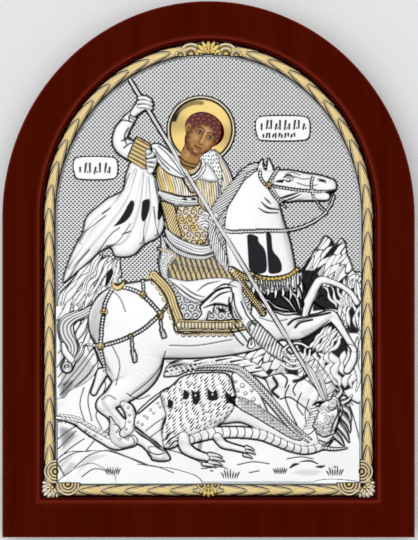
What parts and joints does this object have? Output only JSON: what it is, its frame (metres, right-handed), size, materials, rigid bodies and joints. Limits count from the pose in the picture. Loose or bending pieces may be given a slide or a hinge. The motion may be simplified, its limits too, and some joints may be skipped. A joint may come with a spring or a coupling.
{
  "type": "icon panel",
  "caption": "Arched wooden icon panel with a recessed, embossed silver sheet: a rider spears a dragon under a gilded halo inside a laurel border.",
  "frame": {"origin": "centre of the board's back face, on the surface that the panel lies on", "axes": "+Z out of the panel's face, +Y towards the top of the arch, +X to the viewer's right; it lies on its back"},
  "size_m": [0.2, 0.26, 0.018],
  "materials": {
    "wood_panel": "dark red mahogany stain under satin varnish",
    "silver_relief": "bright silver with dark recesses, gilded laurel, halo and harness",
    "painted_head": "painted picture under clear varnish"
  },
  "bodies": {
    "root": {"wood_panel": "wood_panel", "silver_relief": "silver_relief", "painted_head": "painted_head"}
  },
  "joints": []
}
